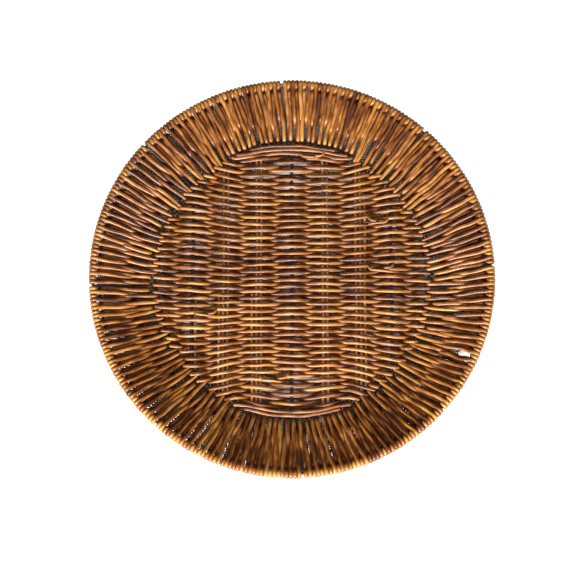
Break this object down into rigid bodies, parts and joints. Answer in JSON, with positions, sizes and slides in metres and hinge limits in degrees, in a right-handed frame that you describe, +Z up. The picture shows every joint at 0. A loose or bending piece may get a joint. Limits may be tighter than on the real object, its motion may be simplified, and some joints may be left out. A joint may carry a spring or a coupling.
{
  "type": "woven cane tray",
  "caption": "Shallow round tray of varnished cane: a flat woven base and a sloping flange wrapped over a steel wire frame, lined with netting.",
  "frame": {"origin": "on the floor under the middle of the round base", "axes": "+Z up; the base rows run along X and the stakes and base wires run along Y"},
  "size_m": [0.3296, 0.3296, 0.0236],
  "materials": {
    "cane": "gloss varnish over honey-brown round cane",
    "stake_cane": "gloss varnish over pale round cane",
    "steel": "dark grey lacquer on steel wire",
    "netting": "taupe open netting, matt"
  },
  "bodies": {
    "root": {"added_stake_1": "stake_cane", "added_stake_2": "stake_cane", "added_stake_3": "stake_cane", "added_stake_4": "stake_cane", "base_hoop": "steel", "base_rows_1": "cane", "base_rows_2": "cane", "base_rows_3": "cane", "base_rows_4": "cane", "base_rows_5": "cane", "base_rows_6": "cane", "base_rows_7": "cane", "base_rows_8": "cane", "base_rows_9": "cane", "base_rows_10": "cane", "base_rows_11": "cane", "base_rows_12": "cane", "base_rows_13": "cane", "base_wire_1": "steel", "base_wire_2": "steel", "base_wire_3": "steel", "flange_canes_1": "cane", "flange_canes_2": "cane", "flange_canes_3": "cane", "flange_canes_4": "cane", "flange_canes_5": "cane", "flange_canes_6": "cane", "flange_canes_7": "cane", "flange_canes_8": "cane", "netting_lining": "netting", "rim_hoop": "steel", "spoke_1": "steel", "spoke_2": "steel", "spoke_3": "steel", "spoke_4": "steel", "spoke_5": "steel", "spoke_6": "steel", "spoke_7": "steel", "spoke_8": "steel", "stake_1": "stake_cane", "stake_2": "stake_cane", "stake_3": "stake_cane", "stake_4": "stake_cane", "stake_5": "stake_cane", "stake_6": "stake_cane", "stake_7": "stake_cane", "stake_8": "stake_cane"}
  },
  "joints": []
}
